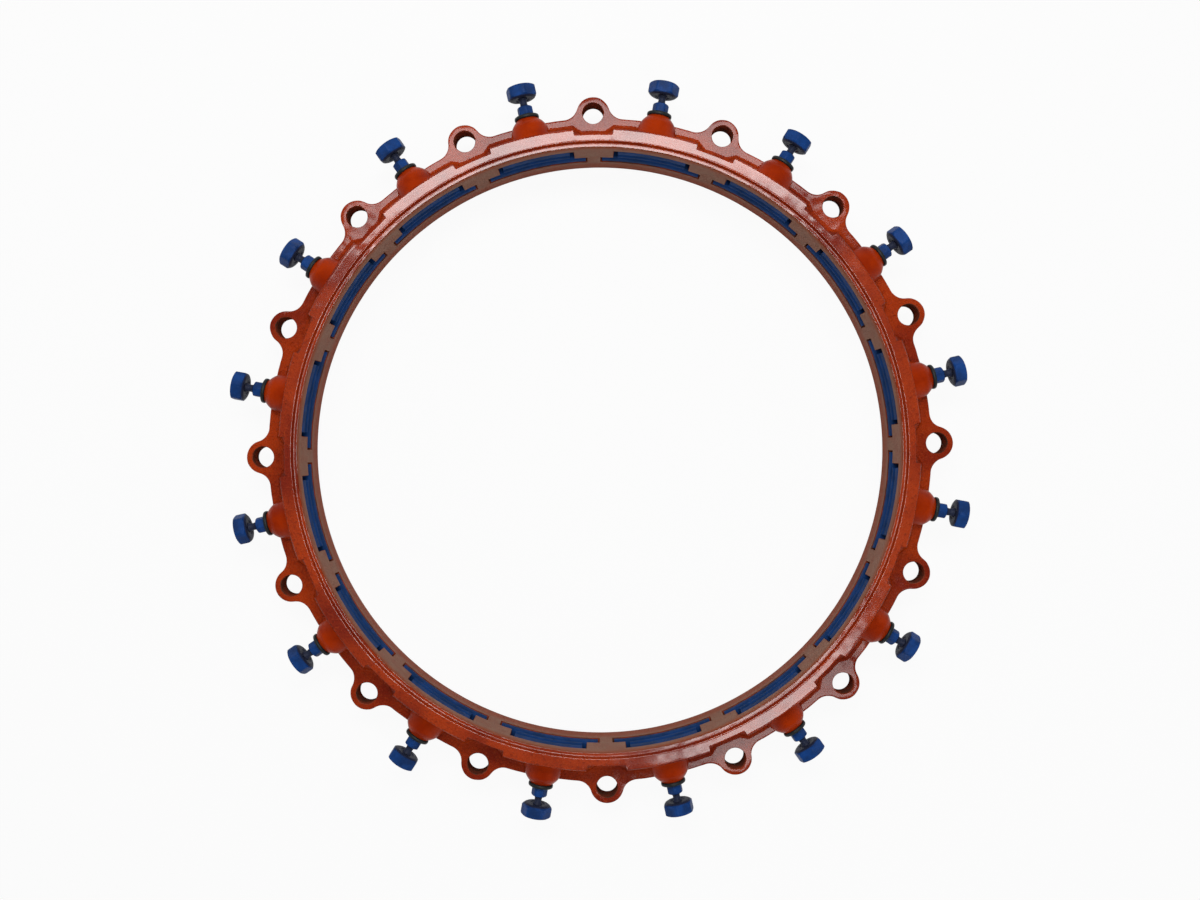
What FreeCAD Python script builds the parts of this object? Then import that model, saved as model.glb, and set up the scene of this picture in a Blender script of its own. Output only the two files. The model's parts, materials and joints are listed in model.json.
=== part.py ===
"""Wedge-action restraint ring for a bolted mechanical pipe joint.

A cast ring slips over the pipe and is drawn against the pipe bell by T-bolts through its ears.
Between the ears stand wedge housings. Each holds a toothed wedge in a window of the bore and a
radial screw that drives the wedge in until its teeth bite the pipe. The large hexagon on each
screw shears off at its thin neck when the screw is tight, and the small hexagon stays.

Millimetres. The ring's axis is Z, and Z = 0 is the end face of the lip that enters the bell.
+Z points to the nut side, where the wedge housings stand. One ear lies on +Y, and the wedge
stations lie half a pitch from the ears. Stations are numbered clockwise seen from +Z.
"""
import FreeCAD, Part
import math
import os

from FreeCAD import Vector

# Pattern
STATIONS = 16
FIRST_EAR_DEG = 0.0

# Pipe and bolting
PIPE_OD = 655.3
PIPE_CLEARANCE = 3.35
BOLT_STANDOFF = 53.35
BOLT_HOLE = 23.8
EAR_WALL = 7.15
EAR_BLEND_R = 17.0

# Ring, heights
LIP_HEIGHT = 24.0
FLANGE_THICKNESS = 26.0
HOUSING_HEIGHT = 45.0
RIM_DROP = 3.6

# Ring, radial widths
LIP_WALL = 13.0
BORE_DRAFT = 0.6
LIP_BEVEL_WIDTH = 4.0
LIP_BEVEL_HEIGHT = 9.0
FLANGE_INSET = 5.5
RIM_WIDTH = 5.2
RIM_STEP_WIDTH = 0.9
PAD_WIDTH = 13.7
NARROW_BAND_WIDTH = 8.2
HOUSING_SPREAD = 17.2

# Room for the nut at each ear
PAD_ARC_DEG = 15.3
SCALLOP_R = 41.0
SCALLOP_DEPTH = 8.6
CORNER_DROP = 27.0
CORNER_EASE = 1.2

# Wedge window in the bore
WINDOW_BASE = 3.8
WINDOW_WING_WIDTH = 115.0
WINDOW_WING_HEIGHT = 20.2
WINDOW_CENTRE_WIDTH = 86.4
WINDOW_HEIGHT = 46.6
POCKET_DEPTH = 22.6
POCKET_BACK_FALL = 6.0

# Wedge
WING_END_GAP = 2.0
CENTRE_END_GAP = 5.0
WEDGE_BASE_GAP = 0.3
WEDGE_TOP_GAP = 0.9
WEDGE_BACK_GAP = 1.0
TOOTH_RETRACT = 0.5
TEETH = 3
TOOTH_PITCH = 13.0
TOOTH_GROOVE_WIDTH = 8.5
TOOTH_DEPTH = 3.0
TOE_BEVEL_WIDTH = 2.6
TOE_BEVEL_HEIGHT = 3.6
SEAT_SIDE_GAP = 0.6
SEAT_DEPTH = 5.0
SEAT_END_GAP = 0.05

# Screw and its boss
SCREW_RISE = 2.0
THREAD_DIAMETER = 19.05
THREAD_CLEARANCE = 0.05
BOSS_DIAMETER = 41.0
BOSS_REACH = 5.5
BOSS_CROWN_LENGTH = 6.0
BOSS_FACE_DIAMETER = 26.0
SEAL_THICKNESS = 4.3
SEAL_DIAMETER = 28.0
SEAL_CLEARANCE = 0.2
THREAD_PROUD = 0.2
SMALL_HEX_FLATS = 15.9
SMALL_HEX_LENGTH = 10.8
NECK_DIAMETER = 8.6
NECK_LENGTH = 8.2
HEAD_HEX_FLATS = 31.75
HEAD_HEX_LENGTH = 14.5
HEAD_SPIN_STEP_DEG = 23.0

# Overlap of joined bodies, and reach of cutting tools past a face
MERGE = 1.0
PAST = 2.0

# Worked out from the sizes above
PITCH_DEG = 360.0 / STATIONS
BORE_R = PIPE_OD / 2 + PIPE_CLEARANCE
BOLT_R = PIPE_OD / 2 + BOLT_STANDOFF
EAR_R = BOLT_HOLE / 2 + EAR_WALL
FLANGE_R = BOLT_R - FLANGE_INSET
LIP_R = BORE_R + LIP_WALL
FLANGE_TOP = LIP_HEIGHT + FLANGE_THICKNESS
RING_TOP = FLANGE_TOP + HOUSING_HEIGHT
BAND_IN_R = BORE_R + RIM_WIDTH + RIM_STEP_WIDTH
PAD_R = BAND_IN_R + PAD_WIDTH
NARROW_R = BAND_IN_R + NARROW_BAND_WIDTH
HOUSING_FOOT_R = PAD_R + HOUSING_SPREAD
HOUSING_SLOPE = HOUSING_SPREAD / HOUSING_HEIGHT
SCALLOP_FOOT_R = HOUSING_FOOT_R - SCALLOP_DEPTH
SCALLOP_SLOPE = (SCALLOP_FOOT_R - NARROW_R) / HOUSING_HEIGHT
SCALLOP_AXIS_R = SCALLOP_FOOT_R + SCALLOP_R
WINDOW_Z = LIP_HEIGHT + WINDOW_BASE
POCKET_BACK_R = BORE_R + POCKET_DEPTH
SCREW_Z = FLANGE_TOP + SCREW_RISE
BOSS_FACE_R = FLANGE_R + BOSS_REACH
SEAL_TOP_R = BOSS_FACE_R + SEAL_THICKNESS
HEX_START_R = SEAL_TOP_R + THREAD_PROUD
HEX_END_R = HEX_START_R + SMALL_HEX_LENGTH
HEAD_START_R = HEX_END_R + NECK_LENGTH
HEAD_END_R = HEAD_START_R + HEAD_HEX_LENGTH


def solid_of(shape):
    """The one solid that a boolean left, with its split faces joined."""
    cleaned = shape.removeSplitter()
    if len(cleaned.Solids) != 1:
        raise ValueError("expected one solid, found %d" % len(cleaned.Solids))
    return cleaned.Solids[0]


def placed(shape, clockwise_deg):
    """A copy of a shape modelled on +Y, turned clockwise about the ring's axis."""
    copy = shape.copy()
    copy.rotate(Vector(0, 0, 0), Vector(0, 0, 1), -clockwise_deg)
    return copy


def ear_angle(index):
    return FIRST_EAR_DEG + index * PITCH_DEG


def station_angle(index):
    return FIRST_EAR_DEG + (index + 0.5) * PITCH_DEG


def at_ears(shape):
    return [placed(shape, ear_angle(i)) for i in range(STATIONS)]


def at_stations(shape):
    return [placed(shape, station_angle(i)) for i in range(STATIONS)]


def turned(points, sweep_deg=360.0, centre=Vector(0, 0, 0)):
    """Solid turned about a vertical axis through centre, from (radius, height) corners."""
    corners = [centre + Vector(0, radius, height) for radius, height in points]
    face = Part.Face(Part.makePolygon(corners + corners[:1]))
    body = face.revolve(centre, Vector(0, 0, 1), sweep_deg)
    body.rotate(centre, Vector(0, 0, 1), -sweep_deg / 2)
    return body


def turned_radially(points):
    """Solid turned about the screw's axis, from (distance from the ring's axis, radius) corners."""
    corners = [Vector(0, along, SCREW_Z + radius) for along, radius in points]
    face = Part.Face(Part.makePolygon(corners + corners[:1]))
    return face.revolve(Vector(0, 0, SCREW_Z), Vector(0, 1, 0), 360)


def radial_cylinder(radius, start_r, end_r):
    return Part.makeCylinder(radius, end_r - start_r, Vector(0, start_r, SCREW_Z), Vector(0, 1, 0))


def radial_hexagon(flats, start_r, end_r):
    corner_r = flats / math.sqrt(3)
    corners = []
    for i in range(6):
        turn = math.radians(60 * i)
        corners.append(Vector(corner_r * math.cos(turn), start_r, SCREW_Z + corner_r * math.sin(turn)))
    face = Part.Face(Part.makePolygon(corners + corners[:1]))
    return face.extrude(Vector(0, end_r - start_r, 0))


def flange_outline():
    """Closed outline of the flange and its ears: round ears blended into a round edge."""
    edge_to_blend = FLANGE_R + EAR_BLEND_R
    ear_to_blend = EAR_R + EAR_BLEND_R
    blend_y = (edge_to_blend ** 2 - ear_to_blend ** 2 + BOLT_R ** 2) / (2 * BOLT_R)
    blend_x = math.sqrt(edge_to_blend ** 2 - blend_y ** 2)
    blend = Vector(blend_x, blend_y, 0)
    ear = Vector(0, BOLT_R, 0)
    on_edge = blend * (FLANGE_R / edge_to_blend)
    to_ear = (ear - blend) * (1 / ear_to_blend)
    on_ear = blend + to_ear * EAR_BLEND_R
    middle = to_ear - blend * (1 / edge_to_blend)
    on_blend = blend + middle * (EAR_BLEND_R / middle.Length)
    top = Vector(0, BOLT_R + EAR_R, 0)
    half_pitch = Vector(0, FLANGE_R, 0)

    def mirrored(point):
        return Vector(-point.x, point.y, point.z)

    edges = []
    for i in range(STATIONS):
        pieces = [
            Part.Arc(mirrored(on_edge), mirrored(on_blend), mirrored(on_ear)).toShape(),
            Part.Arc(mirrored(on_ear), top, on_ear).toShape(),
            Part.Arc(on_ear, on_blend, on_edge).toShape(),
        ]
        edges += [placed(piece, ear_angle(i)) for piece in pieces]
        start = placed(Part.Vertex(on_edge), ear_angle(i)).Point
        middle_point = placed(Part.Vertex(half_pitch), station_angle(i)).Point
        end = placed(Part.Vertex(mirrored(on_edge)), ear_angle(i + 1)).Point
        edges.append(Part.Arc(start, middle_point, end).toShape())
    return Part.Wire(Part.__sortEdges__(edges))


def flange_plate():
    """The eared flange, a flat plate whose inner edge lies within the lip's wall."""
    plate = Part.Face(flange_outline()).extrude(Vector(0, 0, FLANGE_THICKNESS))
    plate.translate(Vector(0, 0, LIP_HEIGHT))
    inner_r = BORE_R + LIP_WALL / 2
    hole = Part.makeCylinder(inner_r, FLANGE_THICKNESS + 2 * PAST, Vector(0, 0, LIP_HEIGHT - PAST))
    return plate.cut(hole)


def hoop():
    """The lip, the bore wall and the sloping housing wall, turned in one profile.

    The lip's bore is straight and guides the pipe. Above it the bore opens by a casting draft.
    """
    join_z = LIP_HEIGHT + FLANGE_THICKNESS / 2
    join_r = HOUSING_FOOT_R + (FLANGE_TOP - join_z) * HOUSING_SLOPE
    return turned([
        (BORE_R, 0),
        (LIP_R - LIP_BEVEL_WIDTH, 0),
        (LIP_R, LIP_BEVEL_HEIGHT),
        (LIP_R, join_z),
        (join_r, join_z),
        (PAD_R, RING_TOP),
        (BAND_IN_R, RING_TOP),
        (BORE_R + RIM_WIDTH, RING_TOP - RIM_DROP),
        (BORE_R + BORE_DRAFT, RING_TOP - RIM_DROP),
        (BORE_R, LIP_HEIGHT),
    ])


def boss():
    """Round boss with a tapered crown that carries the screw's thread."""
    root_r = POCKET_BACK_R + MERGE
    return turned_radially([
        (root_r, 0),
        (root_r, BOSS_DIAMETER / 2),
        (BOSS_FACE_R - BOSS_CROWN_LENGTH, BOSS_DIAMETER / 2),
        (BOSS_FACE_R, BOSS_FACE_DIAMETER / 2),
        (BOSS_FACE_R, 0),
    ])


def scallop_cutter():
    """Conical bite that clears the T-bolt nut out of the housing wall at an ear."""
    height = HOUSING_HEIGHT + PAST
    top_r = SCALLOP_R + height * SCALLOP_SLOPE
    return Part.makeCone(SCALLOP_R, top_r, height, Vector(0, SCALLOP_AXIS_R, FLANGE_TOP))


def corner_cutter():
    """Cut between two pads that leaves the narrow band, run out into the scallop below."""
    foot_z = RING_TOP - CORNER_DROP
    half_arc = math.radians((PITCH_DEG - PAD_ARC_DEG) / 2)
    side_x = PAD_R * math.sin(half_arc)
    cone_r = SCALLOP_R + (foot_z - FLANGE_TOP) * SCALLOP_SLOPE
    side_y = SCALLOP_AXIS_R - math.sqrt(cone_r ** 2 - side_x ** 2)
    foot_r = math.hypot(side_x, side_y) + CORNER_EASE
    outer_r = HOUSING_FOOT_R + PAST
    return turned([
        (NARROW_R, RING_TOP + PAST),
        (NARROW_R, RING_TOP),
        (foot_r, foot_z),
        (outer_r, foot_z),
        (outer_r, RING_TOP + PAST),
    ], PITCH_DEG - PAD_ARC_DEG)


def stepped_block(inner_r, back_low_r, back_high_r, base_z, step_z, top_z, wing_width, centre_width):
    """Block with wings low down and a narrower centre above, and a back that leans inwards."""
    wing_x = wing_width / 2
    centre_x = centre_width / 2
    front = [
        Vector(-wing_x, inner_r, base_z),
        Vector(wing_x, inner_r, base_z),
        Vector(wing_x, inner_r, step_z),
        Vector(centre_x, inner_r, step_z),
        Vector(centre_x, inner_r, top_z),
        Vector(-centre_x, inner_r, top_z),
        Vector(-centre_x, inner_r, step_z),
        Vector(-wing_x, inner_r, step_z),
    ]
    reach = back_low_r - inner_r + PAST
    block = Part.Face(Part.makePolygon(front + front[:1])).extrude(Vector(0, reach, 0))
    side = [
        Vector(-wing_x - PAST, inner_r - PAST, base_z - PAST),
        Vector(-wing_x - PAST, back_at(base_z - PAST, back_low_r, back_high_r, base_z, top_z), base_z - PAST),
        Vector(-wing_x - PAST, back_at(top_z + PAST, back_low_r, back_high_r, base_z, top_z), top_z + PAST),
        Vector(-wing_x - PAST, inner_r - PAST, top_z + PAST),
    ]
    envelope = Part.Face(Part.makePolygon(side + side[:1])).extrude(Vector(wing_width + 2 * PAST, 0, 0))
    return block.common(envelope)


def back_at(z, low_r, high_r, low_z, high_z):
    """Distance of a leaning back from the ring's axis at a height."""
    return low_r + (high_r - low_r) * (z - low_z) / (high_z - low_z)


def pocket_back_r(z):
    """Distance of the pocket's leaning back wall from the ring's axis at a height."""
    high_r = POCKET_BACK_R - POCKET_BACK_FALL
    return back_at(z, POCKET_BACK_R, high_r, WINDOW_Z, WINDOW_Z + WINDOW_HEIGHT)


def pocket_cutter():
    """Space of one wedge, open to the bore."""
    inner_r = BORE_R * math.cos(math.radians(PITCH_DEG / 2)) - PAST
    top_z = WINDOW_Z + WINDOW_HEIGHT
    return stepped_block(
        inner_r, pocket_back_r(WINDOW_Z), pocket_back_r(top_z),
        WINDOW_Z, WINDOW_Z + WINDOW_WING_HEIGHT, top_z,
        WINDOW_WING_WIDTH, WINDOW_CENTRE_WIDTH)


def gland_ring():
    """The casting: lip, eared flange, wedge housings and bosses in one piece."""
    ring = hoop().fuse([flange_plate()])
    ring = ring.cut(at_ears(scallop_cutter()) + at_ears(corner_cutter()))
    ring = ring.fuse(at_stations(boss()))
    bolt_hole = Part.makeCylinder(
        BOLT_HOLE / 2, FLANGE_THICKNESS + 2 * PAST, Vector(0, BOLT_R, LIP_HEIGHT - PAST))
    screw_bore_r = THREAD_DIAMETER / 2 + THREAD_CLEARANCE
    screw_bore = radial_cylinder(screw_bore_r, BORE_R + PAST, BOSS_FACE_R + PAST)
    ring = ring.cut(at_ears(bolt_hole))
    ring = ring.cut(at_stations(pocket_cutter()))
    ring = ring.cut(at_stations(screw_bore))
    return solid_of(ring)


def wedge():
    """Toothed wedge in its retracted place, with a cast seat for the screw's end in its back."""
    base_z = WINDOW_Z + WEDGE_BASE_GAP
    step_z = WINDOW_Z + WINDOW_WING_HEIGHT - WEDGE_TOP_GAP
    top_z = WINDOW_Z + WINDOW_HEIGHT - WEDGE_TOP_GAP
    inner_r = BORE_R * math.cos(math.radians(PITCH_DEG / 2)) - PAST
    body = stepped_block(
        inner_r, pocket_back_r(base_z) - WEDGE_BACK_GAP, pocket_back_r(top_z) - WEDGE_BACK_GAP,
        base_z, step_z, top_z,
        WINDOW_WING_WIDTH - 2 * WING_END_GAP, WINDOW_CENTRE_WIDTH - 2 * CENTRE_END_GAP)
    grip_r = PIPE_OD / 2
    grip_axis = Vector(0, PIPE_CLEARANCE + TOOTH_RETRACT, 0)
    pipe_space = Part.makeCylinder(grip_r, RING_TOP, grip_axis)
    middle_z = (base_z + top_z) / 2
    cutters = [pipe_space]
    for i in range(TEETH - 1):
        groove_z = middle_z + (i - (TEETH - 2) / 2) * TOOTH_PITCH
        cutters.append(turned([
            (grip_r - PAST, groove_z - TOOTH_GROOVE_WIDTH / 2 * (1 + PAST / TOOTH_DEPTH)),
            (grip_r + TOOTH_DEPTH, groove_z),
            (grip_r - PAST, groove_z + TOOTH_GROOVE_WIDTH / 2 * (1 + PAST / TOOTH_DEPTH)),
        ], PITCH_DEG * 1.2, grip_axis))
    toe_top_z = base_z + TOE_BEVEL_HEIGHT
    toe_slope = TOE_BEVEL_WIDTH / TOE_BEVEL_HEIGHT
    cutters.append(turned([
        (grip_r - PAST, toe_top_z + PAST / toe_slope),
        (grip_r + TOE_BEVEL_WIDTH + PAST * toe_slope, base_z - PAST),
        (grip_r - PAST, base_z - PAST),
    ], PITCH_DEG * 1.2, grip_axis))
    cutters.append(screw_seat_cutter())
    return solid_of(body.cut(cutters))


def wedge_seat_r():
    """Distance from the ring's axis of the seat's floor in the wedge's back."""
    return pocket_back_r(SCREW_Z) - WEDGE_BACK_GAP - SEAT_DEPTH


def screw_seat_cutter():
    side = THREAD_DIAMETER + 2 * SEAT_SIDE_GAP
    depth = SEAT_DEPTH + WEDGE_BACK_GAP + PAST
    return Part.makeBox(side, depth, side, Vector(-side / 2, wedge_seat_r(), SCREW_Z - side / 2))


def screw(spin_deg):
    """Driving screw: thread, permanent small hexagon, thin neck and break-off head."""
    body = radial_cylinder(THREAD_DIAMETER / 2, wedge_seat_r() + SEAT_END_GAP, HEX_START_R)
    small_hex = radial_hexagon(SMALL_HEX_FLATS, HEX_START_R - MERGE, HEX_END_R)
    neck = radial_cylinder(NECK_DIAMETER / 2, HEX_END_R - MERGE, HEAD_START_R + MERGE)
    head = radial_hexagon(HEAD_HEX_FLATS, HEAD_START_R, HEAD_END_R)
    whole = solid_of(body.fuse([small_hex, neck, head]))
    whole.rotate(Vector(0, 0, SCREW_Z), Vector(0, 1, 0), spin_deg)
    return whole


def seal_ring():
    """Rubber ring between the boss and the screw's small hexagon."""
    inner = THREAD_DIAMETER / 2 + SEAL_CLEARANCE
    outer = SEAL_DIAMETER / 2
    return turned_radially([
        (BOSS_FACE_R, inner),
        (BOSS_FACE_R, outer),
        (SEAL_TOP_R, outer),
        (SEAL_TOP_R, inner),
    ])


def main():
    os.makedirs("parts", exist_ok=True)
    gland_ring().exportStep("parts/gland_ring.step")
    Part.makeCompound(at_stations(seal_ring())).exportStep("parts/seal_rings.step")
    one_wedge = wedge()
    for i in range(STATIONS):
        name = "%02d" % (i + 1)
        placed(one_wedge, station_angle(i)).exportStep("parts/wedge_%s.step" % name)
        turned_screw = screw(i * HEAD_SPIN_STEP_DEG)
        placed(turned_screw, station_angle(i)).exportStep("parts/screw_%s.step" % name)


main()
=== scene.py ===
"""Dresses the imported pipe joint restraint: a painted ring casting with blue wedges and screws.

Every shape is in metres in the frame's own axes: the ring's axis is Z, the lip's end face is
Z = 0, one bolt ear lies on +Y, and the wedge stations lie half a pitch from the ears.
"""
import json
import logging
import math
from dataclasses import dataclass, field
from enum import Enum
from typing import Any, Callable, Optional, Sequence, Union

import bmesh
import bpy
import numpy as np
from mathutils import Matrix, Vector


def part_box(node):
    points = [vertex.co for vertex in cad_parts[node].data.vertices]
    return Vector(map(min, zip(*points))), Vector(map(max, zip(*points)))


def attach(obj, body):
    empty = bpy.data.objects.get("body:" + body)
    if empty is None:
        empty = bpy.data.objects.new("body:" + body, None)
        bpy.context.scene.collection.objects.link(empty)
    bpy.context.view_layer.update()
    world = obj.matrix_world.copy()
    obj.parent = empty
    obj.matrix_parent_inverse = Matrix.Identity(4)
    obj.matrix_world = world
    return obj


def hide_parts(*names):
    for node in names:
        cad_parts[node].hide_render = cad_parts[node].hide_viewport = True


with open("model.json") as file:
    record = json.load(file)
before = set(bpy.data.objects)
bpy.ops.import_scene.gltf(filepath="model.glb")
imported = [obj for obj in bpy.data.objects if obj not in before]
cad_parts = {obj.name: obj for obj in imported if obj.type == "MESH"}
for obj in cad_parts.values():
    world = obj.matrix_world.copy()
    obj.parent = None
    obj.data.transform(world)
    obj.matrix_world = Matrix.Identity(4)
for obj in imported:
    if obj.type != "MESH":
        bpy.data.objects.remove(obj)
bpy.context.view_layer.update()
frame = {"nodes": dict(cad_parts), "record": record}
log = logging.getLogger("restraint")

MM = 0.001
STATIONS = sum(name.startswith("wedge_") for name in frame["nodes"])
PITCH = 2 * math.pi / STATIONS
Array = np.ndarray
Colour = tuple[float, float, float]


class Zone(Enum):
    """Material slots of the casting, in the order in which its mesh holds them."""

    SKIN = 0
    BOSS = 1
    POCKET = 2


def ear_angle(index: float) -> float:
    """Angle of an ear, clockwise from +Y as seen from +Z; halves give wedge stations."""
    return index * PITCH


def at_angle(points: Array, angle: float) -> Array:
    """Turns points modelled on +Y clockwise about Z.

    Args:
        points: array whose last axis holds x, y and z.
        angle: radians, clockwise as seen from +Z.

    Returns:
        The turned points, x' = x cos a + y sin a and y' = y cos a - x sin a.
    """
    x, y, z = points[..., 0], points[..., 1], points[..., 2]
    c, s = math.cos(angle), math.sin(angle)
    return np.stack([x * c + y * s, y * c - x * s, z], axis=-1)


def hashed(cells: Array, seed: int) -> Array:
    """Repeatable numbers for lattice cells, by integer mixing.

    Args:
        cells: whole-number positions of lattice cells, last axis x, y, z.
        seed: picks the numbers.

    Returns:
        Values from 0 to 1, one for each cell.
    """
    x, y, z = (cells[..., i].astype(np.uint32) for i in range(3))
    mixed = x * np.uint32(374761393) + y * np.uint32(668265263) + z * np.uint32(2147483647)
    mixed = mixed + np.uint32(seed * 1013904223 % 2**32)
    mixed = (mixed ^ (mixed >> np.uint32(13))) * np.uint32(1274126177)
    mixed = mixed ^ (mixed >> np.uint32(16))
    return mixed.astype(np.float64) / 2**32


def smooth_noise(points: Array, size: float, seed: int) -> Array:
    """Value noise in space.

    Lattice corners hold hashed numbers, and between corners they are mixed with the cubic
    weight 3t^2 - 2t^3 along each axis in turn.

    Args:
        points: positions, last axis x, y, z.
        size: width of one lattice cell in metres.
        seed: picks the lattice's numbers.

    Returns:
        Values from 0 to 1, one for each point.
    """
    always_positive = 1000.0
    scaled = points / size + always_positive
    cell = np.floor(scaled)
    part = scaled - cell
    weight = part * part * (3 - 2 * part)
    total = np.zeros(points.shape[:-1])
    for corner in np.ndindex(2, 2, 2):
        step = np.array(corner)
        share = np.prod(np.where(step == 1, weight, 1 - weight), axis=-1)
        total += share * hashed(cell + step, seed)
    return total


def soft_min(a: Array, b: Array, radius: float) -> Array:
    """Smaller of two fields with the crease between them rounded over about one radius."""
    gap = np.clip(0.5 + 0.5 * (b - a) / radius, 0, 1)
    return b + (a - b) * gap - radius * gap * (1 - gap)


def grid_faces(rows: int, columns: int, wrap_rows: bool, wrap_columns: bool) -> Array:
    """Quads that join a grid of points, row after row.

    Args:
        rows: points along the first axis.
        columns: points along the second axis.
        wrap_rows: whether the last row joins the first.
        wrap_columns: whether the last column joins the first.

    Returns:
        Whole-number array of four corners a face.
    """
    i = np.arange(rows if wrap_rows else rows - 1)
    j = np.arange(columns if wrap_columns else columns - 1)
    i, j = np.meshgrid(i, j, indexing="ij")
    i2, j2 = (i + 1) % rows, (j + 1) % columns
    quads = [i * columns + j, i2 * columns + j, i2 * columns + j2, i * columns + j2]
    return np.stack(quads, axis=-1).reshape(-1, 4)


@dataclass
class Surface:
    """Points and faces of one closed skin, before they become a mesh."""

    points: Array
    faces: list[list[int]] = field(default_factory=list)
    # share of painted shade at each point, if any
    bare: Optional[Array] = None

    @classmethod
    def tube(cls, grid: Array, capped: bool, bare: Optional[Array] = None) -> "Surface":
        """A skin from a grid of rings.

        Args:
            grid: array (rings, points on a ring, 3). Rings wrap round.
            capped: True closes the first and last ring with flat faces, False joins them.
            bare: for each ring, how much painted shade it takes, from 0 to 1.

        Returns:
            The closed skin.
        """
        rows, columns = grid.shape[:2]
        faces = grid_faces(rows, columns, not capped, True).tolist()
        if capped:
            faces.append(list(range(columns)))
            faces.append(list(range((rows - 1) * columns, rows * columns))[::-1])
        spread = None if bare is None else np.repeat(bare, columns)
        return cls(grid.reshape(-1, 3), faces, spread)

    @classmethod
    def joined(cls, parts: Sequence["Surface"]) -> "Surface":
        """Several skins as one, kept apart.

        Args:
            parts: the skins.

        Returns:
            One skin that holds all their points and faces.
        """
        faces: list[list[int]] = []
        start = 0
        for part in parts:
            faces += [[corner + start for corner in face] for face in part.faces]
            start += len(part.points)
        return cls(np.concatenate([part.points for part in parts]), faces)

    def turned(self, angle: float) -> "Surface":
        """The skin turned clockwise about Z."""
        return Surface(at_angle(self.points, angle), self.faces, self.bare)

    def ringed(self, first: float) -> "Surface":
        """One copy at each station, starting at an ear index and stepping one pitch."""
        return Surface.joined([self.turned(ear_angle(first + i)) for i in range(STATIONS)])


def make_object(name: str, surface: Surface, sharp_deg: float = 35.0) -> bpy.types.Object:
    """Puts a skin into a mesh with outward faces.

    Args:
        name: the piece's name.
        surface: points and faces.
        sharp_deg: edges that turn by more than this stay sharp in the shading.

    Returns:
        An object at the origin, linked to the scene.
    """
    mesh = bpy.data.meshes.new(name)
    mesh.from_pydata(surface.points.tolist(), [], surface.faces)
    # Keeps the share of painted shade as a point attribute.
    if surface.bare is not None:
        share = mesh.attributes.new("bare", "FLOAT", "POINT")
        share.data.foreach_set("value", surface.bare.astype(np.float32))
    shape = bmesh.new()
    shape.from_mesh(mesh)
    bmesh.ops.remove_doubles(shape, verts=shape.verts, dist=1e-7)
    bmesh.ops.recalc_face_normals(shape, faces=shape.faces)
    shape.to_mesh(mesh)
    shape.free()
    smooth(mesh, sharp_deg)
    piece = bpy.data.objects.new(name, mesh)
    bpy.context.scene.collection.objects.link(piece)
    return piece


def smooth(mesh: bpy.types.Mesh, sharp_deg: float) -> None:
    """Shades a mesh smooth, with creases above an angle kept sharp."""
    mesh.shade_smooth()
    mesh.set_sharp_from_angle(angle=math.radians(sharp_deg))


def combine(base: bpy.types.Object, tool: bpy.types.Object, operation: str) -> None:
    """Applies an exact boolean to a piece and removes the tool.

    Args:
        base: the piece that is kept; its mesh is replaced by the result.
        tool: the other operand.
        operation: UNION or DIFFERENCE.
    """
    change = base.modifiers.new("combine", "BOOLEAN")
    change.operation = operation
    change.solver = "EXACT"
    change.material_mode = "TRANSFER"
    change.object = tool
    ready = base.evaluated_get(bpy.context.evaluated_depsgraph_get())
    mesh = bpy.data.meshes.new_from_object(ready)
    base.modifiers.clear()
    old = base.data
    base.data = mesh
    bpy.data.meshes.remove(old)
    bpy.data.objects.remove(tool)


Value = Union["Socket", float]


class Socket:
    """A shader value that can be used in Python expressions; each operation adds a node."""

    def __init__(self, tree: "Tree", link: bpy.types.NodeSocket) -> None:
        """Wraps an output socket of a tree."""
        self.tree = tree
        self.link = link

    def _math(self, operation: str, *values: Value) -> "Socket":
        """Adds one Math node."""
        return self.tree.node("ShaderNodeMath", dict(operation=operation), *values)

    def __add__(self, other: Value) -> "Socket":
        """Sum."""
        return self._math("ADD", self, other)

    __radd__ = __add__

    def __mul__(self, other: Value) -> "Socket":
        """Product."""
        return self._math("MULTIPLY", self, other)

    __rmul__ = __mul__

    def __sub__(self, other: Value) -> "Socket":
        """Difference."""
        return self._math("SUBTRACT", self, other)

    def __rsub__(self, other: Value) -> "Socket":
        """Difference, this value taken from another."""
        return self._math("SUBTRACT", other, self)

    def __pow__(self, other: Value) -> "Socket":
        """Power."""
        return self._math("POWER", self, other)

    def sqrt(self) -> "Socket":
        """Square root."""
        return self._math("SQRT", self)

    def ramp(self, low: float, high: float, from_value: float = 0.0,
             to_value: float = 1.0) -> "Socket":
        """Clamped smooth step from one value at low to another at high.

        Args:
            low: where the step starts.
            high: where it ends.
            from_value: result at low and below.
            to_value: result at high and above.

        Returns:
            The stepped value.
        """
        settings = dict(interpolation_type="SMOOTHSTEP", data_type="FLOAT")
        return self.tree.node("ShaderNodeMapRange", settings,
                              self, low, high, from_value, to_value)


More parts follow.
